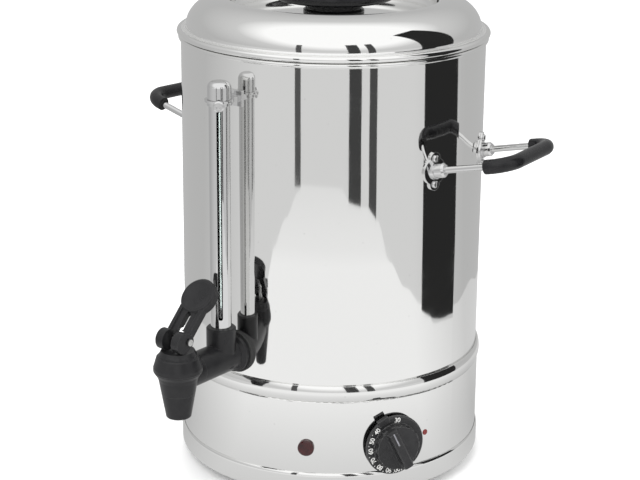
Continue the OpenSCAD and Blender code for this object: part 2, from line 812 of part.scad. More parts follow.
module lid_knob() {
    cap_low = 377;
    cap_mid = 382;
    color([0.12, 0.12, 0.13]) difference() {
        rotate_extrude() polygon(concat(
            [[0, dish_z], [24, dish_z], [24, dish_z + 1.5], [22.4, dish_z + 3], [22.4, cap_low - 2],
             [24, cap_low - 0.4], [26, cap_low]],
            [for (a = [-90 : 15 : 0]) [lid_knob_r - 5 + 5 * cos(a), cap_mid + 5 * sin(a)]],
            [for (a = [9 : 9 : 90])
                [lid_knob_r * cos(a), cap_mid + (lid_knob_top - cap_mid) * sin(a)]]
        ));
        translate([0, 0, dish_z - 1]) cylinder(r = 3, h = 16);
    }
}

module lid_washer() {
    color("silver") translate([0, 0, dish_z - sheet - 1.5]) tube(9, 3, 1.5);
}

module lid_screw() {
    head_z = dish_z - sheet - 1.5;
    color("silver") difference() {
        union() {
            translate([0, 0, head_z - 3.2]) cylinder(r = 5.5, h = 3.2);
            translate([0, 0, head_z]) cylinder(r = 3, h = 15);
        }
        translate([-0.6, -6, head_z - 4]) cube([1.2, 12, 2]);
    }
}

tank();
tank_bottom();
seam_ring();
base_skirt();
base_pan();
foot_ring();
foot_screws();
tie_stud();
tie_nut();
heating_element();
element_seals();
element_nuts();
boil_dry_cutout();
thermostat_body();
thermostat_bulb();
bulb_clip();
terminal_block();
cable_gland();
gland_nut();
pilot_lamp_lens();
pilot_lamp_body();
control_shaft();
control_knob();
tap_body();
tap_shank();
tap_wall_washer();
tap_inner_washer();
tap_lock_nut();
tap_spout();
tap_bonnet();
valve_stem();
valve_cup();
valve_spring();
lever_pin();
tap_lever();
gauge_glass();
gauge_seal();
gauge_guard();
gauge_cap();
gauge_bracket();
bracket_screw();
bracket_rivet();
handle_wire(1);  // handle_wire_right
handle_wire(-1);  // handle_wire_left
handle_grip(1);  // handle_grip_right
handle_grip(-1);  // handle_grip_left
handle_lugs(1);  // handle_lugs_right
handle_lugs(-1);  // handle_lugs_left
lug_screws();
lug_nuts();
lid_shell();
lid_collar();
lid_knob();
lid_washer();
lid_screw();
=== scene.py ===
from math import cos, pi, radians, sin, sqrt

import bpy
from mathutils import Matrix, Vector


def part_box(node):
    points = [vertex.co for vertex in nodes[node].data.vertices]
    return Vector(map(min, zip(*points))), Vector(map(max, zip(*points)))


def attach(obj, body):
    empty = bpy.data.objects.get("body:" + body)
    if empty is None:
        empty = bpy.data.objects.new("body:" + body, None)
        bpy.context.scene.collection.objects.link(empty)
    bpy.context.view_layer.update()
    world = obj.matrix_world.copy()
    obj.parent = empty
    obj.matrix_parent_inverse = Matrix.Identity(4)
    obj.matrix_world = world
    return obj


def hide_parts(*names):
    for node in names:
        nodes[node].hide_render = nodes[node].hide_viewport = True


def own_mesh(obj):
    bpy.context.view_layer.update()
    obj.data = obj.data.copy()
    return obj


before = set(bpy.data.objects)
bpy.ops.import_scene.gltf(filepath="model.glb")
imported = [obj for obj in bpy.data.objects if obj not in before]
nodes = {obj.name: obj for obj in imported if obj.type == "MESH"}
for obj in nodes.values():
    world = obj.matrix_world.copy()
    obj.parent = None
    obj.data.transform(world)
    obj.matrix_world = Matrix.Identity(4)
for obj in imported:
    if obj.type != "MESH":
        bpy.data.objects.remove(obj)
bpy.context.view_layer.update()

# Sizes are metres. The object stands on z = 0 with its tap toward -Y. Directions are degrees, and go round
# from the tap toward +X.


# node helpers

def linkInputs(tree, node, inputs):
    # another node's socket is linked, and a plain value is set
    for key, value in inputs.items():
        if isinstance(value, bpy.types.NodeSocket):
            tree.links.new(value, node.inputs[key])
        else:
            node.inputs[key].default_value = value


def addNode(tree, kind, inputs=None, **settings):
    node = tree.nodes.new(kind)
    for name, value in settings.items():
        setattr(node, name, value)
    linkInputs(tree, node, inputs or {})
    return node


def addMath(tree, operation, first, second=0.5, third=0.0, clamp=False):
    inputs = {0: first, 1: second, 2: third}
    return addNode(tree, "ShaderNodeMath", inputs, operation=operation, use_clamp=clamp).outputs[0]


def addVector(tree, operation, first, second=(0.0, 0.0, 0.0)):
    node = addNode(tree, "ShaderNodeVectorMath", {0: first, 1: second}, operation=operation)
    return node.outputs["Value" if operation in ("DOT_PRODUCT", "LENGTH") else "Vector"]


def addRange(tree, value, fromLow, fromHigh, toLow=0.0, toHigh=1.0):
    inputs = {0: value, 1: fromLow, 2: fromHigh, 3: toLow, 4: toHigh}
    return addNode(tree, "ShaderNodeMapRange", inputs).outputs[0]


def addSteps(tree, value, tones):
    # a curve through points of value and tone
    total = tones[0][1]
    for (low, lowTone), (high, highTone) in zip(tones, tones[1:]):
        total = addMath(tree, "ADD", addRange(tree, value, low, high, 0.0, highTone - lowTone), total)
    return total


def addMix(tree, factor, first, second, share=None):
    if share is not None:
        factor = addMath(tree, "MULTIPLY", factor, share)
    return addNode(tree, "ShaderNodeMix", {0: factor, 6: first, 7: second}, data_type="RGBA").outputs[2]


def addNoise(tree, where, scale, detail=2.0, roughness=0.5, distortion=0.0):
    inputs = {"Vector": where, "Scale": scale, "Detail": detail, "Roughness": roughness,
              "Distortion": distortion}
    return addNode(tree, "ShaderNodeTexNoise", inputs).outputs[0]


def addCells(tree, where, scale, randomness=1.0, feature="F1"):
    inputs = {"Vector": where, "Scale": scale, "Randomness": randomness}
    return addNode(tree, "ShaderNodeTexVoronoi", inputs, feature=feature).outputs


def addBump(tree, height, strength, distance, normal=None):
    inputs = {"Height": height, "Strength": strength, "Distance": distance}
    if normal is not None:
        inputs["Normal"] = normal
    return addNode(tree, "ShaderNodeBump", inputs).outputs[0]


def opaque(color, gain=1.0):
    return (*[min(1.0, channel * gain) for channel in color], 1.0)


def startGroup(name, inputs, outputs):
    tree = bpy.data.node_groups.new(name, "ShaderNodeTree")
    for label, kind, value in inputs:
        socket = tree.interface.new_socket(label, in_out="INPUT", socket_type=kind)
        if value is not None:
            socket.default_value = value
    for label, kind in outputs:
        tree.interface.new_socket(label, in_out="OUTPUT", socket_type=kind)
    return tree, addNode(tree, "NodeGroupInput").outputs, addNode(tree, "NodeGroupOutput")


def callGroup(tree, group, inputs):
    return addNode(tree, "ShaderNodeGroup", inputs, node_tree=group).outputs


def startMaterial(name):
    material = bpy.data.materials.new(name)
    material.use_nodes = True
    tree = material.node_tree
    shader = tree.nodes["Principled BSDF"]
    where = addNode(tree, "ShaderNodeTexCoord").outputs["Object"]
    return material, tree, shader, where


# shared effects; a pair of numbers is where a mask begins and where it is full

edgeLook = {"radius": 0.0004, "samples": 6, "turned": (0.995, 0.86)}


def makeEdgeSoftening(v):
    # rounds sharp edges in the shading, and masks them for wear
    tree, given, result = startGroup(
        "edgeSoftening", [("Radius", "NodeSocketFloat", v["radius"])],
        [("Normal", "NodeSocketVector"), ("Mask", "NodeSocketFloat")])
    rounded = addNode(tree, "ShaderNodeBevel", {"Radius": given["Radius"]}, samples=v["samples"]).outputs[0]
    plain = addNode(tree, "ShaderNodeNewGeometry").outputs["Normal"]
    likeness = addVector(tree, "DOT_PRODUCT", rounded, plain)
    linkInputs(tree, result, {"Normal": rounded, "Mask": addRange(tree, likeness, *v["turned"])})
    return tree


smudgeLook = {
    "scale": 14.0, "detail": 5.0, "roughness": 0.62, "distortion": 0.8, "wiped": (0.50, 0.72),
    "dropScale": 9.0, "dropEdge": (0.13, 0.07), "dropShare": (0.86, 0.9),
}


def makeSmudges(v):
    # wiped patches and droplet marks that dull a polished face
    tree, given, result = startGroup(
        "smudges", [("Vector", "NodeSocketVector", None), ("Scale", "NodeSocketFloat", v["scale"])],
        [("Mask", "NodeSocketFloat"), ("Spots", "NodeSocketFloat")])
    cloud = addNoise(tree, given["Vector"], given["Scale"], v["detail"], v["roughness"], v["distortion"])
    drops = addCells(tree, given["Vector"], addMath(tree, "MULTIPLY", given["Scale"], v["dropScale"]))
    ring = addRange(tree, drops["Distance"], *v["dropEdge"])
    chosen = addNode(tree, "ShaderNodeSeparateColor", {0: drops["Color"]}).outputs[0]
    spots = addMath(tree, "MULTIPLY", ring, addRange(tree, chosen, *v["dropShare"]))
    linkInputs(tree, result, {"Mask": addRange(tree, cloud, *v["wiped"]), "Spots": spots})
    return tree


# coarse and fine are the scale, detail and roughness of a noise
polishLook = {
    "stretch": (1.0, 1.0, 60.0), "coarse": (30.0, 3.0, 0.7), "fine": (190.0, 2.0, 0.6), "fineShare": 0.5,
}


def makePolishLines(v):
    # fine lines left by polishing, drawn out along one axis
    tree, given, result = startGroup(
        "polishLines",
        [("Vector", "NodeSocketVector", None), ("Stretch", "NodeSocketVector", v["stretch"])],
        [("Value", "NodeSocketFloat")])
    drawn = addVector(tree, "MULTIPLY", given["Vector"], given["Stretch"])
    coarse = addMath(tree, "MULTIPLY", addNoise(tree, drawn, *v["coarse"]), 1 - v["fineShare"])
    both = addMath(tree, "MULTIPLY_ADD", addNoise(tree, drawn, *v["fine"]), v["fineShare"], coarse)
    linkInputs(tree, result, {"Value": both})
    return tree


grainLook = {
    "scale": 1500.0, "etched": 0.6, "broken": 0.5, "brokenScale": 0.4, "brokenDetail": 4.0,
    "brokenRoughness": 0.6, "flowScale": 60.0, "flowDetail": 3.0, "flowDistortion": 1.2,
    "patches": (0.35, 0.7),
}


def makeMouldGrain(v):
    # the fine etched texture of moulded plastic, with a trace of flow in it
    tree, given, result = startGroup(
        "mouldGrain", [("Vector", "NodeSocketVector", None), ("Scale", "NodeSocketFloat", v["scale"])],
        [("Height", "NodeSocketFloat"), ("Patches", "NodeSocketFloat")])
    etched = addCells(tree, given["Vector"], given["Scale"], feature="SMOOTH_F1")["Distance"]
    brokenScale = addMath(tree, "MULTIPLY", given["Scale"], v["brokenScale"])
    broken = addNoise(tree, given["Vector"], brokenScale, v["brokenDetail"], v["brokenRoughness"])
    pits = addMath(tree, "MULTIPLY", broken, v["broken"])
    height = addMath(tree, "MULTIPLY_ADD", etched, v["etched"], pits)
    flow = addNoise(tree, given["Vector"], v["flowScale"], v["flowDetail"], distortion=v["flowDistortion"])
    linkInputs(tree, result, {"Height": height, "Patches": addRange(tree, flow, *v["patches"])})
    return tree


printLook = {
    "amount": 0.3, "scale": 42.0, "scatter": 0.9, "edge": (0.42, 0.30), "swirlScale": 90.0, "swirl": 0.6,
    "ridgeCount": 190.0, "ridgeEdge": (-0.2, 0.6),
}


def makeFingerprints(v):
    # ridged prints scattered over places that hands reach
    tree, given, result = startGroup(
        "fingerprints", [("Vector", "NodeSocketVector", None), ("Amount", "NodeSocketFloat", v["amount"])],
        [("Mask", "NodeSocketFloat")])
    cells = addCells(tree, given["Vector"], v["scale"], v["scatter"])
    inside = addRange(tree, cells["Distance"], *v["edge"])
    swirl = addNoise(tree, given["Vector"], v["swirlScale"], detail=1.0)
    reach = addMath(tree, "MULTIPLY_ADD", swirl, v["swirl"], cells["Distance"])
    wave = addMath(tree, "SINE", addMath(tree, "MULTIPLY", reach, v["ridgeCount"]))
    pick = addNode(tree, "ShaderNodeSeparateColor", {0: cells["Color"]}).outputs[1]
    chosen = addMath(tree, "LESS_THAN", pick, given["Amount"])
    ridges = addMath(tree, "MULTIPLY", inside, addRange(tree, wave, *v["ridgeEdge"]))
    linkInputs(tree, result, {"Mask": addMath(tree, "MULTIPLY", ridges, chosen)})
    return tree


dustLook = {
    "slope": (0.2, 1.0), "grainScale": 900.0, "grains": (0.5, 0.7),
    "cloudScale": 25.0, "cloudDetail": 3.0, "cloud": (0.4, 0.8),
}


def makeDust(v):
    # settled dust on faces that look upward
    tree, given, result = startGroup(
        "dust", [("Vector", "NodeSocketVector", None)], [("Mask", "NodeSocketFloat")])
    normal = addNode(tree, "ShaderNodeNewGeometry").outputs["Normal"]
    up = addNode(tree, "ShaderNodeSeparateXYZ", {0: normal}).outputs["Z"]
    grains = addNoise(tree, given["Vector"], v["grainScale"])
    cloud = addNoise(tree, given["Vector"], v["cloudScale"], v["cloudDetail"])
    amount = addMath(tree, "MULTIPLY", addRange(tree, up, *v["slope"]), addRange(tree, cloud, *v["cloud"]))
    mask = addMath(tree, "MULTIPLY", amount, addRange(tree, grains, *v["grains"]))
    linkInputs(tree, result, {"Mask": mask})
    return tree


edgeSoftening = makeEdgeSoftening(edgeLook)
smudges = makeSmudges(smudgeLook)
polishLines = makePolishLines(polishLook)
mouldGrain = makeMouldGrain(grainLook)
fingerprints = makeFingerprints(printLook)
dust = makeDust(dustLook)
print("shared effects made")


# materials

metals = {
    "polished_steel": {
        "color": (0.88, 0.88, 0.87), "roughness": 0.035, "dull": 0.05, "stretch": (1, 1, 70), "lines": 0.03,
        "waves": 0.5, "waveScale": 9.0, "smudge": 16.0, "prints": 0.10, "edge": 0.0006,
        "inside": {"wallRadius": 0.1197, "rim": 0.3555, "downward": -0.3, "roughness": 0.38}},
    "chrome_trim": {
        "color": (0.70, 0.70, 0.70), "roughness": 0.03, "dull": 0.05, "stretch": (1, 1, 12), "lines": 0.02,
        "waves": 0.15, "waveScale": 60.0, "smudge": 60.0, "prints": 0.15, "edge": 0.0004},
    "steel_hardware": {
        "color": (0.66, 0.66, 0.65), "roughness": 0.24, "dull": 0.16, "stretch": (40, 40, 3), "lines": 0.25,
        "waves": 0.1, "waveScale": 120.0, "smudge": 90.0, "prints": 0.0, "edge": 0.0003},
    "brass_fittings": {
        "color": (0.78, 0.56, 0.24), "roughness": 0.22, "dull": 0.2, "stretch": (30, 30, 30), "lines": 0.2,
        "waves": 0.1, "waveScale": 90.0, "smudge": 70.0, "prints": 0.0, "edge": 0.0004},
    "copper_lead": {
        "color": (0.80, 0.42, 0.28), "roughness": 0.28, "dull": 0.22, "stretch": (20, 20, 60), "lines": 0.2,
        "waves": 0.1, "waveScale": 90.0, "smudge": 60.0, "prints": 0.0, "edge": 0.0003},
    "element_sheath": {
        "color": (0.40, 0.38, 0.36), "roughness": 0.38, "dull": 0.3, "stretch": (20, 20, 20), "lines": 0.3,
        "waves": 0.1, "waveScale": 70.0, "smudge": 50.0, "prints": 0.0, "edge": 0.0003},
}

# what all metals share: share and gain of spots and worn edges, and the heights of waves and lines
metalLook = {
    "spotShare": 0.5, "spotGain": 0.86, "wearShare": 0.4, "wearGain": 1.1, "waveHeight": 0.0006,
    "lineHeight": 0.00002,
}


def insideMask(tree, where, v):
    # the inside of the drum, and the underside of the lid's sheet, are satin and not polished
    height = addNode(tree, "ShaderNodeSeparateXYZ", {0: where}).outputs["Z"]
    reach = addVector(tree, "LENGTH", addVector(tree, "MULTIPLY", where, (1.0, 1.0, 0.0)))
    low = addMath(tree, "LESS_THAN", height, v["rim"])
    tank = addMath(tree, "MULTIPLY", addMath(tree, "LESS_THAN", reach, v["wallRadius"]), low)
    normal = addNode(tree, "ShaderNodeNewGeometry").outputs["True Normal"]
    facing = addNode(tree, "ShaderNodeSeparateXYZ", {0: normal}).outputs["Z"]
    under = addMath(tree, "LESS_THAN", facing, v["downward"])
    under = addMath(tree, "MULTIPLY", under, addMath(tree, "SUBTRACT", 1.0, low))
    return addMath(tree, "MAXIMUM", tank, under)


def makeMetal(name, v, look):
    material, tree, shader, where = startMaterial(name)
    soft = callGroup(tree, edgeSoftening, {"Radius": v["edge"]})
    marks = callGroup(tree, smudges, {"Vector": where, "Scale": v["smudge"]})
    prints = callGroup(tree, fingerprints, {"Vector": where, "Amount": v["prints"]})["Mask"]
    lines = callGroup(tree, polishLines, {"Vector": where, "Stretch": v["stretch"]})["Value"]
    waves = addNoise(tree, where, v["waveScale"], detail=1.0)
    duller = addMath(tree, "MULTIPLY", addMath(tree, "MAXIMUM", marks["Mask"], prints), v["dull"])
    lined = addMath(tree, "MULTIPLY_ADD", lines, v["lines"], duller)
    meanLine = v["lines"] * 0.5  # taken off, so the lines only vary the roughness
    roughness = addMath(tree, "ADD", lined, v["roughness"] - meanLine, clamp=True)
    if "inside" in v:
        satin = insideMask(tree, where, v["inside"])
        roughness = addMath(tree, "MULTIPLY_ADD", satin, v["inside"]["roughness"], roughness, clamp=True)
    plain, spot, bare = [opaque(v["color"], gain) for gain in (1.0, look["spotGain"], look["wearGain"])]
    spotted = addMix(tree, marks["Spots"], plain, spot, look["spotShare"])
    worn = addMix(tree, soft["Mask"], spotted, bare, look["wearShare"])
    sheet = addBump(tree, waves, v["waves"], look["waveHeight"], soft["Normal"])
    scored = addBump(tree, lines, v["lines"], look["lineHeight"], sheet)
    linkInputs(tree, shader, {
        "Base Color": worn, "Metallic": 1.0, "Roughness": roughness, "Normal": scored})
    return material


plastics = {
    "tap_plastic": {
        "color": (0.012, 0.012, 0.013), "light": (0.022, 0.022, 0.023), "roughness": 0.30, "grain": 0.10,
        "scale": 1500.0, "edge": 0.0005, "wear": 0.12, "dust": 0.05},
    "grip_plastic": {
        "color": (0.010, 0.010, 0.011), "light": (0.020, 0.020, 0.021), "roughness": 0.24, "grain": 0.06,
        "scale": 1900.0, "edge": 0.0006, "wear": 0.10, "dust": 0.05},
    "control_plastic": {
        "color": (0.018, 0.018, 0.019), "light": (0.034, 0.034, 0.035), "roughness": 0.26, "grain": 0.14,
        "scale": 1700.0, "edge": 0.0005, "wear": 0.45, "dust": 0.06},
    "gland_plastic": {
        "color": (0.020, 0.020, 0.021), "light": (0.035, 0.035, 0.036), "roughness": 0.42, "grain": 0.25,
        "scale": 1200.0, "edge": 0.0005, "wear": 0.1, "dust": 0.15},
    "switch_housing": {
        "color": (0.72, 0.69, 0.60), "light": (0.80, 0.78, 0.70), "roughness": 0.45, "grain": 0.12,
        "scale": 1300.0, "edge": 0.0005, "wear": 0.05, "dust": 0.2},
    "foot_rubber": {
        "color": (0.022, 0.022, 0.022), "light": (0.045, 0.045, 0.044), "roughness": 0.72, "grain": 0.35,
        "scale": 900.0, "edge": 0.0006, "wear": 0.2, "dust": 0.4},
    "seal_rubber": {
        "color": (0.03, 0.03, 0.03), "light": (0.05, 0.05, 0.05), "roughness": 0.6, "grain": 0.2,
        "scale": 1000.0, "edge": 0.0005, "wear": 0.1, "dust": 0.1},
    "silicone_cup": {
        "color": (0.74, 0.72, 0.68), "light": (0.84, 0.82, 0.78), "roughness": 0.5, "grain": 0.1,
        "scale": 900.0, "edge": 0.0005, "wear": 0.0, "dust": 0.1},
}

# what all plastics share; the last three add to the roughness
plasticLook = {
    "prints": 0.2, "patchShare": 0.5, "bareColor": (0.25, 0.25, 0.25), "dustColor": (0.45, 0.43, 0.40),
    "specular": 0.28, "grainHeight": 0.0001, "patchRough": 0.08, "printRough": -0.06, "dustRough": 0.2,
}


def makePlastic(name, v, look):
    material, tree, shader, where = startMaterial(name)
    soft = callGroup(tree, edgeSoftening, {"Radius": v["edge"]})
    grain = callGroup(tree, mouldGrain, {"Vector": where, "Scale": v["scale"]})
    settled = callGroup(tree, dust, {"Vector": where})["Mask"]
    prints = callGroup(tree, fingerprints, {"Vector": where, "Amount": look["prints"]})["Mask"]
    tone = addMix(tree, grain["Patches"], opaque(v["color"]), opaque(v["light"]), look["patchShare"])
    worn = addMix(tree, soft["Mask"], tone, opaque(look["bareColor"]), v["wear"])
    dusty = addMix(tree, settled, worn, opaque(look["dustColor"]), v["dust"])
    rough = addMath(tree, "MULTIPLY_ADD", grain["Patches"], look["patchRough"], v["roughness"])
    rough = addMath(tree, "MULTIPLY_ADD", prints, look["printRough"], rough)
    rough = addMath(tree, "MULTIPLY_ADD", settled, look["dustRough"], rough, clamp=True)
    bump = addBump(tree, grain["Height"], v["grain"], look["grainHeight"], soft["Normal"])
    linkInputs(tree, shader, {
        "Base Color": dusty, "Roughness": rough, "Specular IOR Level": look["specular"], "Normal": bump})
    return material


lampLook = {
    "dark": (0.024, 0.004, 0.005), "light": (0.050, 0.007, 0.008), "cloudScale": 220.0, "cloud": (0.3, 0.7),
    "roughness": (0.12, 0.2), "facetScale": 900.0, "facetStrength": 0.35, "facetHeight": 0.0002,
    "edge": 0.0005, "transmission": 0.1, "ior": 1.49, "coat": 0.15, "coatRoughness": 0.1,
}


def makeLampLens(v):
    material, tree, shader, where = startMaterial("lamp_lens")
    soft = callGroup(tree, edgeSoftening, {"Radius": v["edge"]})
    facets = addCells(tree, where, v["facetScale"])["Distance"]
    cloud = addNoise(tree, where, v["cloudScale"])
    tone = addMix(tree, addRange(tree, cloud, *v["cloud"]), opaque(v["dark"]), opaque(v["light"]))
    bump = addBump(tree, facets, v["facetStrength"], v["facetHeight"], soft["Normal"])
    linkInputs(tree, shader, {
        "Base Color": tone, "Roughness": addRange(tree, cloud, *v["cloud"], *v["roughness"]),
        "Transmission Weight": v["transmission"], "IOR": v["ior"], "Coat Weight": v["coat"],
        "Coat Roughness": v["coatRoughness"], "Normal": bump})
    return material


glassLook = {
    "clear": (0.93, 0.97, 0.96), "marked": (0.88, 0.92, 0.91), "smudge": 60.0, "roughness": 0.12,
    "ior": 1.47,
}


def makeGaugeGlass(v):
    material, tree, shader, where = startMaterial("gauge_tube_glass")
    marks = callGroup(tree, smudges, {"Vector": where, "Scale": v["smudge"]})["Mask"]
    tone = addMix(tree, marks, opaque(v["clear"]), opaque(v["marked"]))
    linkInputs(tree, shader, {
        "Base Color": tone, "Roughness": addMath(tree, "MULTIPLY", marks, v["roughness"]),
        "Transmission Weight": 1.0, "IOR": v["ior"]})
    return material


paints = {
    "whitePaint": {"color": (0.80, 0.80, 0.78), "other": (0.66, 0.66, 0.64), "roughness": 0.45},
    # the grey of the knob's pointer line, which is also a painted highlight along its grip bar
    "pointerAndHighlightPaint": {"color": (0.30, 0.30, 0.33), "other": (0.20, 0.20, 0.22), "roughness": 0.35},
    "redPaint": {"color": (0.22, 0.022, 0.020), "other": (0.14, 0.012, 0.012), "roughness": 0.4},
}

paintLook = {
    "cloudScale": 900.0, "cloudDetail": 3.0, "patches": (0.35, 0.7), "uneven": (0.3, 0.7), "rougher": 0.15,
    "strength": 0.2, "height": 0.00005,
}


def makePaint(name, v, look):
    material, tree, shader, where = startMaterial(name)
    cloud = addNoise(tree, where, look["cloudScale"], look["cloudDetail"])
    tone = addMix(tree, addRange(tree, cloud, *look["patches"]), opaque(v["color"]), opaque(v["other"]))
    rough = addRange(tree, cloud, *look["uneven"], v["roughness"], v["roughness"] + look["rougher"])
    bump = addBump(tree, cloud, look["strength"], look["height"])
    linkInputs(tree, shader, {"Base Color": tone, "Roughness": rough, "Normal": bump})
    return material


materials = {name: makeMetal(name, v, metalLook) for name, v in metals.items()}
materials.update({name: makePlastic(name, v, plasticLook) for name, v in plastics.items()})
materials["lamp_lens"] = makeLampLens(lampLook)
materials["gauge_tube_glass"] = makeGaugeGlass(glassLook)
materials.update({name: makePaint(name, v, paintLook) for name, v in paints.items()})

slotNodes = {
    "polished_steel": ["tank", "tank_bottom", "seam_ring", "base_skirt", "base_pan", "lid_shell",
                       "lid_collar"],
    "chrome_trim": ["gauge_guard", "gauge_cap", "gauge_bracket", "bracket_screw", "handle_wire_right",
                    "handle_wire_left", "handle_lugs_right", "handle_lugs_left", "lug_screws"],
    "steel_hardware": ["foot_screws", "tie_stud", "tie_nut", "valve_stem", "lever_pin", "valve_spring",
                       "lug_nuts", "lid_washer", "lid_screw", "bracket_rivet", "control_shaft",
                       "bulb_clip"],
    "element_sheath": ["heating_element"],
    "brass_fittings": ["element_nuts", "tap_lock_nut"],
    "copper_lead": ["thermostat_bulb"],
    "foot_rubber": ["foot_ring"],
    "seal_rubber": ["element_seals", "tap_wall_washer", "tap_inner_washer"],
    "silicone_cup": ["valve_cup", "gauge_seal"],
    "control_plastic": ["control_knob"],
    "tap_plastic": ["tap_body", "tap_shank", "tap_spout", "tap_bonnet", "tap_lever"],
    "grip_plastic": ["handle_grip_right", "handle_grip_left", "lid_knob"],
    "gland_plastic": ["cable_gland", "gland_nut"],
    "switch_housing": ["boil_dry_cutout", "thermostat_body", "terminal_block", "pilot_lamp_body"],
    "lamp_lens": ["pilot_lamp_lens"],
    "gauge_tube_glass": ["gauge_glass"],
}
for slotName, nodeNames in slotNodes.items():
    for nodeName in nodeNames:
        mesh = nodes[nodeName].data
        mesh.materials.clear()
        mesh.materials.append(materials[slotName])
print("materials made")


# camera

cameraView = {
    "direction": 37.0, "distance": 1.392, "height": 0.6166, "pitch": 17.49, "yaw": -0.38, "roll": 0.51,
    "lens": 100.63, "sensor": 36.0, "clipEnd": 30.0,
}


def around(direction, distance, height):
    angle = radians(direction)
    return Vector((distance * sin(angle), -distance * cos(angle), height))


def makeCamera(v):
    data = bpy.data.cameras.new("photoCamera")
    camera = bpy.data.objects.new("photoCamera", data)
    bpy.context.collection.objects.link(camera)
    turn = Matrix.Rotation(radians(v["direction"]), 3, "Z")
    pitch, yaw, roll = radians(v["pitch"]), radians(v["yaw"]), radians(v["roll"])
    ahead = turn @ Vector((sin(yaw) * cos(pitch), cos(yaw) * cos(pitch), -sin(pitch)))
    right = turn @ Vector((cos(yaw), -sin(yaw), 0))
    up = right.cross(ahead)
    rightRolled = right * cos(roll) + up * sin(roll)
    upRolled = up * cos(roll) - right * sin(roll)
    facing = Matrix((rightRolled, upRolled, -ahead)).transposed().to_4x4()
    camera.matrix_world = Matrix.Translation(around(v["direction"], v["distance"], v["height"])) @ facing
    data.sensor_width = v["sensor"]
    data.lens = v["lens"]
    data.clip_end = v["clipEnd"]
    bpy.context.scene.camera = camera


# studio

studio = {
    "floorRadius": 6.0,
    "floorSteps": 96,
    "floorColor": (0.93, 0.93, 0.93),
    "floorDark": 0.99,
    "floorCloud": (3.0, 4.0),  # scale and detail of its noise
    "floorRoughness": 0.9,
    "skyStrength": 1.0,
    # mirrored sky, by how near a ray runs to the big soft box over the front
    "softBox": (45.0, 62.0),
    "skyTones": [(-0.1, 0.50), (0.45, 0.66), (0.72, 1.10)],
    # mirrored ground: outline of the white table top, as direction and distance, then its grey by distance;
    # the grey near the urn is a painted shadow of the urn
    "sheet": [(-180, 0.50), (-80, 0.42), (-24, 0.42), (-10, 0.54), (-8, 0.624), (-4, 0.749), (5, 0.877),
              (13, 0.999), (16, 1.035), (29, 1.03), (43, 1.022), (50, 0.95), (59, 0.925), (63, 0.92),
              (69, 0.865), (78, 0.712), (90, 0.610), (103, 0.547), (116, 0.472), (133, 0.462), (139, 0.493),
              (163, 0.527)],
    "sheetSteps": 180,
    "sheetHeight": 0.0005,
    # the low grey near the urn is a painted shadow of the urn on the mirrored table top
    "sheetGreyAndShadow": [(0.12, 0.66), (0.34, 0.94), (0.70, 0.94), (0.76, 0.88), (1.04, 0.80)],
    # grey in front and at the sides, of the table top and of the room beyond it
    "sheetFront": 0.94,
    "sheetSide": 0.66,
    "roomFront": 0.70,
    "roomSide": 0.50,
    "roomHeight": -0.001,
    "frontDirection": 40.0,
    "sideFade": (-0.35, 0.55),
    # mirrored upright cards: direction and distance of the first and the last foot, how far the top leans
    # round, height, grey
    "cards": [
        (103.0, 0.527, 133.0, 0.478, -9.0, 0.95, 0.022),
        (48.6, 0.955, 57.2, 0.93, -3.0, 0.80, 0.055),
        (62.8, 0.92, 68.2, 0.87, -3.0, 0.80, 0.07),
        (10.8, 1.03, 15.0, 1.03, -1.0, 0.75, 0.09),
    ],
    "lights": {
        "keyLight": {"direction": 10, "distance": 1.5, "height": 1.9, "size": 1.6, "power": 26},
        "fillLight": {"direction": 110, "distance": 1.7, "height": 1.5, "size": 1.8, "power": 14},
        "backLight": {"direction": 215, "distance": 1.6, "height": 1.7, "size": 1.5, "power": 14},
    },
    "lightAim": (0, 0, 0.2),
}


def showOnly(thing, camera=False, diffuse=False, glossy=False, transmission=False, shadow=False):
    thing.visible_camera = camera
    thing.visible_diffuse = diffuse
    thing.visible_glossy = glossy
    thing.visible_transmission = transmission
    thing.visible_volume_scatter = False
    thing.visible_shadow = shadow


def makeGlow(name, grey, side=None, tones=None):
    # an even grey, or one that changes with the distance and toward the sides of the view
    material = bpy.data.materials.new(name)
    material.use_nodes = True
    tree = material.node_tree
    tree.nodes.clear()
    strength = grey
    where = addNode(tree, "ShaderNodeTexCoord").outputs["Object"]
    if tones:
        # for the table top, a grey by distance whose dark middle is a painted shadow of the urn
        strength = addSteps(tree, addVector(tree, "LENGTH", where), tones)
    if side is not None:
        front = around(studio["frontDirection"], 1.0, 0.0)
        ahead = addVector(tree, "DOT_PRODUCT", addVector(tree, "NORMALIZE", where), front)
        dim = addRange(tree, ahead, *studio["sideFade"], side / grey, 1.0)
        strength = addMath(tree, "MULTIPLY", strength, dim)
    glow = addNode(tree, "ShaderNodeEmission", {"Color": (1.0, 1.0, 1.0, 1.0), "Strength": strength})
    addNode(tree, "ShaderNodeOutputMaterial", {"Surface": glow.outputs[0]})
    return material


def makeFloor(v):
    bpy.ops.mesh.primitive_circle_add(vertices=v["floorSteps"], radius=v["floorRadius"], fill_type="NGON")
    floor = bpy.context.object
    floor.name = "floor"
    material, tree, shader, where = startMaterial("floorPaint")
    cloud = addNoise(tree, where, *v["floorCloud"])
    tone = addMix(tree, cloud, opaque(v["floorColor"]), opaque(v["floorColor"], v["floorDark"]))
    linkInputs(tree, shader, {
        "Base Color": tone, "Roughness": v["floorRoughness"], "Specular IOR Level": 0.0})
    floor.data.materials.append(material)
    showOnly(floor, camera=True, diffuse=True, transmission=True, shadow=True)


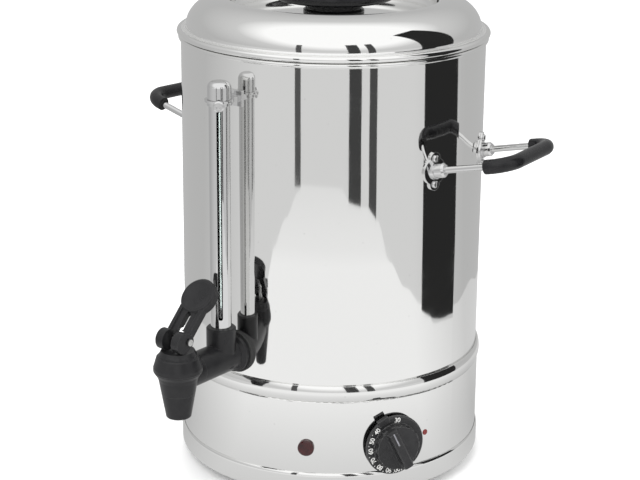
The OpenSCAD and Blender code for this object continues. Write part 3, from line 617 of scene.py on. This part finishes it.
def makeSheet(v):
    # the white table top, as the metal mirrors it
    points = v["sheet"]
    loop = points + [(points[0][0] + 360, points[0][1])]
    bpy.ops.mesh.primitive_circle_add(vertices=v["sheetSteps"], radius=1, fill_type="NGON")
    sheet = bpy.context.object
    sheet.name = "tableTop"
    for i, vertex in enumerate(sheet.data.vertices):
        direction = -180 + 360 * i / v["sheetSteps"]
        for (low, lowReach), (high, highReach) in zip(loop, loop[1:]):
            if low <= direction <= high:
                t = (direction - low) / (high - low)
                eased = t * t * (3 - 2 * t)
                vertex.co = around(direction, lowReach + (highReach - lowReach) * eased, v["sheetHeight"])
    sheet.data.materials.append(makeGlow("tableGlow", v["sheetFront"], v["sheetSide"], v["sheetGreyAndShadow"]))
    showOnly(sheet, glossy=True)


def makeRoom(v):
    # the ground of the room beyond the table top
    place = (0, 0, v["roomHeight"])
    bpy.ops.mesh.primitive_circle_add(
        vertices=v["floorSteps"], radius=v["floorRadius"], fill_type="NGON", location=place)
    beyond = bpy.context.object
    beyond.name = "groundBeyond"
    beyond.data.materials.append(makeGlow("groundGlow", v["roomFront"], v["roomSide"]))
    showOnly(beyond, glossy=True)


def makeCards(v):
    for i, (first, firstDistance, last, lastDistance, lean, height, grey) in enumerate(v["cards"]):
        bpy.ops.mesh.primitive_plane_add(size=1)
        card = bpy.context.object
        card.name = f"card{i}"
        corners = [(first, firstDistance, 0.0), (last, lastDistance, 0.0),
                   (first + lean, firstDistance, height), (last + lean, lastDistance, height)]
        for vertex, corner in zip(card.data.vertices, corners):
            vertex.co = around(*corner)
        card.data.materials.append(makeGlow(f"cardGlow{i}", grey))
        showOnly(card, glossy=True)


def makeLights(v):
    for name, values in v["lights"].items():
        data = bpy.data.lights.new(name, "AREA")
        data.shape = "DISK"
        data.size = values["size"]
        data.energy = values["power"]
        light = bpy.data.objects.new(name, data)
        bpy.context.collection.objects.link(light)
        light.location = around(values["direction"], values["distance"], values["height"])
        light.rotation_euler = (Vector(v["lightAim"]) - light.location).to_track_quat("-Z", "Y").to_euler()
        light.visible_glossy = False


def makeSky(v):
    # the camera sees white, and the metal mirrors a dimmer sky with the soft box in it
    world = bpy.data.worlds.new("sky")
    bpy.context.scene.world = world
    world.use_nodes = True
    tree = world.node_tree
    tree.nodes.clear()
    path = addNode(tree, "ShaderNodeLightPath").outputs
    seen = addMath(tree, "MAXIMUM", path["Is Camera Ray"], path["Is Transmission Ray"])
    lookedAt = addNode(tree, "ShaderNodeTexCoord").outputs["Generated"]
    direction, elevation = v["softBox"]
    boxAt = around(direction, cos(radians(elevation)), sin(radians(elevation)))
    mirrored = addSteps(tree, addVector(tree, "DOT_PRODUCT", lookedAt, boxAt), v["skyTones"])
    change = addMath(tree, "SUBTRACT", mirrored, v["skyStrength"])
    strength = addMath(tree, "MULTIPLY_ADD", path["Is Glossy Ray"], change, v["skyStrength"])
    strength = addMath(tree, "MAXIMUM", strength, seen)
    glow = addNode(tree, "ShaderNodeBackground", {"Color": (1.0, 1.0, 1.0, 1.0), "Strength": strength})
    addNode(tree, "ShaderNodeOutputWorld", {"Surface": glow.outputs[0]})


bpy.ops.object.select_all(action="DESELECT")
makeCamera(cameraView)
makeFloor(studio)
makeSheet(studio)
makeRoom(studio)
makeCards(studio)
makeLights(studio)
makeSky(studio)
bpy.context.scene.view_settings.view_transform = "Standard"
print("studio made")


# pieces

weldDistance = 0.000002


def outward(direction, distance, height):
    # local x runs round the drum, y up, and z outward
    angle = radians(direction)
    facing = Matrix(((cos(angle), 0, sin(angle)), (sin(angle), 0, -cos(angle)), (0, 1, 0))).to_4x4()
    return Matrix.Translation(around(direction, distance, height)) @ facing


def placeMesh(piece, matrix):
    # moves the place into the mesh, so the object stays at the origin
    piece.data.transform(matrix @ piece.matrix_basis)
    piece.matrix_basis = Matrix.Identity(4)


def roundEdges(piece, width, segments):
    bevel = piece.modifiers.new("bevel", "BEVEL")
    bevel.width = width
    bevel.segments = segments
    bpy.ops.object.modifier_apply(modifier="bevel")


def makeBar(size):
    bpy.ops.object.select_all(action="DESELECT")
    bpy.ops.mesh.primitive_cube_add(size=1)
    bar = bpy.context.object
    bar.data.transform(Matrix.Diagonal((*size, 1)))
    return bar


def arc(centre, radii, degrees):
    (x, z), (run, rise) = centre, radii
    return [(x + run * cos(angle), z + rise * sin(angle)) for angle in map(radians, degrees)]


# a drop of paint, half of it sunk in the base skirt
indexDot = {
    "direction": 75.2, "height": 0.0508, "radius": 0.0023, "proud": 0.00035, "rounding": 0.8, "steps": 48,
}


def makeIndexDot(v):
    bpy.ops.object.select_all(action="DESELECT")
    bpy.ops.mesh.primitive_cylinder_add(vertices=v["steps"], radius=v["radius"], depth=2 * v["proud"])
    dot = bpy.context.object
    dot.name = "indexDot"
    roundEdges(dot, v["proud"] * v["rounding"], segments=3)
    bpy.ops.object.shade_smooth()
    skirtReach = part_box("base_skirt")[1][0]
    placeMesh(dot, outward(v["direction"], skirtReach, v["height"]))
    dot.data.materials.append(materials["redPaint"])
    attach(dot, "urn")


def makeReturnSpring():
    # stands for the CAD's spring, and goes with the valve
    source = nodes["valve_spring"]
    spring = bpy.data.objects.new("returnSpring", source.data.copy())
    bpy.context.collection.objects.link(spring)
    spring.data.transform(source.matrix_world)
    bpy.ops.object.select_all(action="DESELECT")
    spring.select_set(True)
    bpy.context.view_layer.objects.active = spring
    bpy.ops.object.mode_set(mode="EDIT")
    bpy.ops.mesh.select_all(action="SELECT")
    bpy.ops.mesh.remove_doubles(threshold=weldDistance)
    bpy.ops.object.mode_set(mode="OBJECT")
    bpy.ops.object.shade_smooth()
    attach(spring, "valve")
    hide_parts("valve_spring")
    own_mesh(spring)


knob = {"direction": 61.0, "height": 0.048, "face": 0.1238, "dialThickness": 0.0024}

# numbers round the dial, against the clock; the pointer ear stands between the first two
dialNumbers = {
    "first": 30, "step": 10, "count": 9, "firstAngle": 86.0, "nextAngle": 138.0, "angleStep": 23.5,
    "radius": 0.0208, "height": 0.0039, "raised": 0.00012, "fontScale": 1.36, "spacing": 0.94,
    "weight": 0.02, "tickLength": 0.0011, "tickRadius": 0.0229, "tickWidth": 0.0003,
}


def placeMark(mark, v, radius, angle):
    mark.data.transform(Matrix.Translation((0, radius, v["raised"] / 2)))
    mark.data.transform(Matrix.Rotation(angle - pi / 2, 4, "Z"))
    return mark


def makeNumber(label, v):
    bpy.ops.object.select_all(action="DESELECT")
    bpy.ops.object.text_add()
    number = bpy.context.object
    number.data.body = label
    number.data.align_x = "CENTER"
    number.data.align_y = "CENTER"
    number.data.size = v["height"] * v["fontScale"]
    number.data.space_character = v["spacing"]
    number.data.extrude = v["raised"] / 2
    number.data.offset = v["height"] * v["weight"]
    bpy.ops.object.convert(target="MESH")
    return number


def makeDialNumbers(v, k):
    marks = []
    tickSize = (v["tickWidth"], v["tickLength"], v["raised"])
    for i in range(v["count"]):
        angle = v["nextAngle"] + v["angleStep"] * (i - 1) if i else v["firstAngle"]
        number = makeNumber(str(v["first"] + v["step"] * i), v)
        marks.append(placeMark(number, v, v["radius"], radians(angle)))
        if i:
            between = radians(angle + v["angleStep"] / 2)
            marks.append(placeMark(makeBar(tickSize), v, v["tickRadius"], between))
    bpy.ops.object.select_all(action="DESELECT")
    for mark in marks:
        mark.select_set(True)
    bpy.context.view_layer.objects.active = marks[0]
    bpy.ops.object.join()
    numbers = bpy.context.object
    numbers.name = "dialNumbers"
    numbers.data.materials.clear()
    numbers.data.materials.append(materials["whitePaint"])
    placeMesh(numbers, outward(k["direction"], k["face"] + k["dialThickness"], k["height"]))
    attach(numbers, "knob")


# grey paint in the groove along the knob's grip bar: a pointer line, and a painted highlight along the bar
pointerLineAndHighlight = {
    "angle": 116.0, "start": 0.0055, "end": 0.0168, "width": 0.0011, "bottom": 0.01452, "depth": 0.0003,
    "rounding": 0.35,
}


def makePointerLineAndHighlight(v, k):
    length = v["end"] - v["start"]
    line = makeBar((length, v["width"], v["depth"]))
    line.name = "pointerLineAndHighlight"
    roundEdges(line, v["depth"] * v["rounding"], segments=2)
    line.data.transform(Matrix.Translation((v["start"] + length / 2, 0, v["bottom"] + v["depth"] / 2)))
    line.data.transform(Matrix.Rotation(radians(v["angle"]), 4, "Z"))
    placeMesh(line, outward(k["direction"], k["face"], k["height"]))
    line.data.materials.append(materials["pointerAndHighlightPaint"])
    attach(line, "knob")


def extrudeLine(name, points):
    # draws a line of vertices in the XZ plane, one extrusion a point
    bpy.ops.object.select_all(action="DESELECT")
    bpy.ops.mesh.primitive_plane_add(size=0.001)
    piece = bpy.context.object
    piece.name = name
    bpy.ops.object.mode_set(mode="EDIT")
    bpy.ops.mesh.select_all(action="SELECT")
    bpy.ops.mesh.merge(type="CENTER")
    (x, z), rest = points[0], points[1:]
    bpy.ops.transform.translate(value=(x, 0, z))
    for nextX, nextZ in rest:
        bpy.ops.mesh.extrude_region_move(TRANSFORM_OT_translate={"value": (nextX - x, 0, nextZ - z)})
        x, z = nextX, nextZ
    bpy.ops.mesh.select_all(action="SELECT")
    return piece


def spinLine(name, points, steps, sharpAngle):
    # turns a closed line round the urn's axis
    piece = extrudeLine(name, [*points, points[0]])
    bpy.ops.mesh.remove_doubles(threshold=weldDistance)
    bpy.ops.mesh.spin(steps=steps, angle=2 * pi, center=(0, 0, 0), axis=(0, 0, 1))
    bpy.ops.mesh.select_all(action="SELECT")
    bpy.ops.mesh.remove_doubles(threshold=weldDistance)
    bpy.ops.mesh.normals_make_consistent(inside=False)
    bpy.ops.object.mode_set(mode="OBJECT")
    bpy.ops.object.shade_smooth_by_angle(angle=radians(sharpAngle))
    even = piece.modifiers.new("even", "WEIGHTED_NORMAL")
    even.keep_sharp = True
    bpy.ops.object.modifier_apply(modifier="even")
    piece.data.materials.append(materials["polished_steel"])
    return piece


# the lid's pressed sheet, from the hole for its knob's screw out to the rolled edge
lid = {
    "hole": 0.0031, "dishHeight": 0.3665, "dishRadius": 0.006, "edgeRadius": 0.005,
    "shoulder": (0.086, 0.356), "shoulderRun": 0.030, "sheet": 0.0009, "skirt": (0.1151, 0.116),
    "bead": 0.0024, "beadAt": (0.1208, 0.3522), "neckLow": 0.0008, "neckHigh": 0.0025, "neckStep": 0.001,
    "steps": 240, "sharpAngle": 35,
}


def lidLine(v, top, inset):
    # from the shoulder over the edge into the dish; the inset is 0 for the outer face
    x, z = v["shoulder"]
    edge, bowl = v["edgeRadius"], v["dishRadius"]
    line = arc((x, z), (v["shoulderRun"] - inset, top - z - inset), range(0, 91, 3))
    line += arc((x, top - edge), (edge - inset, edge - inset), range(96, 181, 6))
    line += arc((x - edge - bowl, v["dishHeight"] + bowl), (bowl + inset, -(bowl + inset)), range(0, 91, 6))
    return line + [(v["hole"], v["dishHeight"] - inset)]


def makeLid(v):
    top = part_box("lid_shell")[1][2]
    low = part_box("lid_collar")[1][2]  # the collar goes on from here
    skirtIn, skirtOut = v["skirt"]
    beadZ = v["beadAt"][1]
    bead = arc(v["beadAt"], (v["bead"], v["bead"]), range(-160, 101, 10))
    line = lidLine(v, top, 0.0) + lidLine(v, top, v["sheet"])[::-1]
    line += [(skirtIn, low), (skirtOut, low), (skirtOut, beadZ + v["neckLow"])]
    line += [*bead, (skirtOut + v["neckStep"], beadZ + v["neckHigh"])]
    piece = spinLine("lidSheet", line, v["steps"], v["sharpAngle"])
    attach(piece, "lid")
    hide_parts("lid_shell")


# the band round the drum's foot, with a crowned outer face
seamRing = {
    "inner": 0.1201, "outer": 0.123, "crown": 0.014, "crownSteps": 16, "steps": 240, "sharpAngle": 35,
}


def makeSeamRing(v):
    low, high = [corner[2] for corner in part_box("seam_ring")]
    half = (high - low) / 2
    line = [(v["inner"], high), (v["inner"], low)]
    for i in range(v["crownSteps"] + 1):
        z = -half + (high - low) * i / v["crownSteps"]
        line.append((v["outer"] - v["crown"] + sqrt(v["crown"] ** 2 - z * z), low + half + z))
    piece = spinLine("seamBand", line, v["steps"], v["sharpAngle"])
    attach(piece, "urn")
    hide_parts("seam_ring")


makeIndexDot(indexDot)
makeReturnSpring()
makeDialNumbers(dialNumbers, knob)
makePointerLineAndHighlight(pointerLineAndHighlight, knob)
makeLid(lid)
makeSeamRing(seamRing)
print("pieces made")
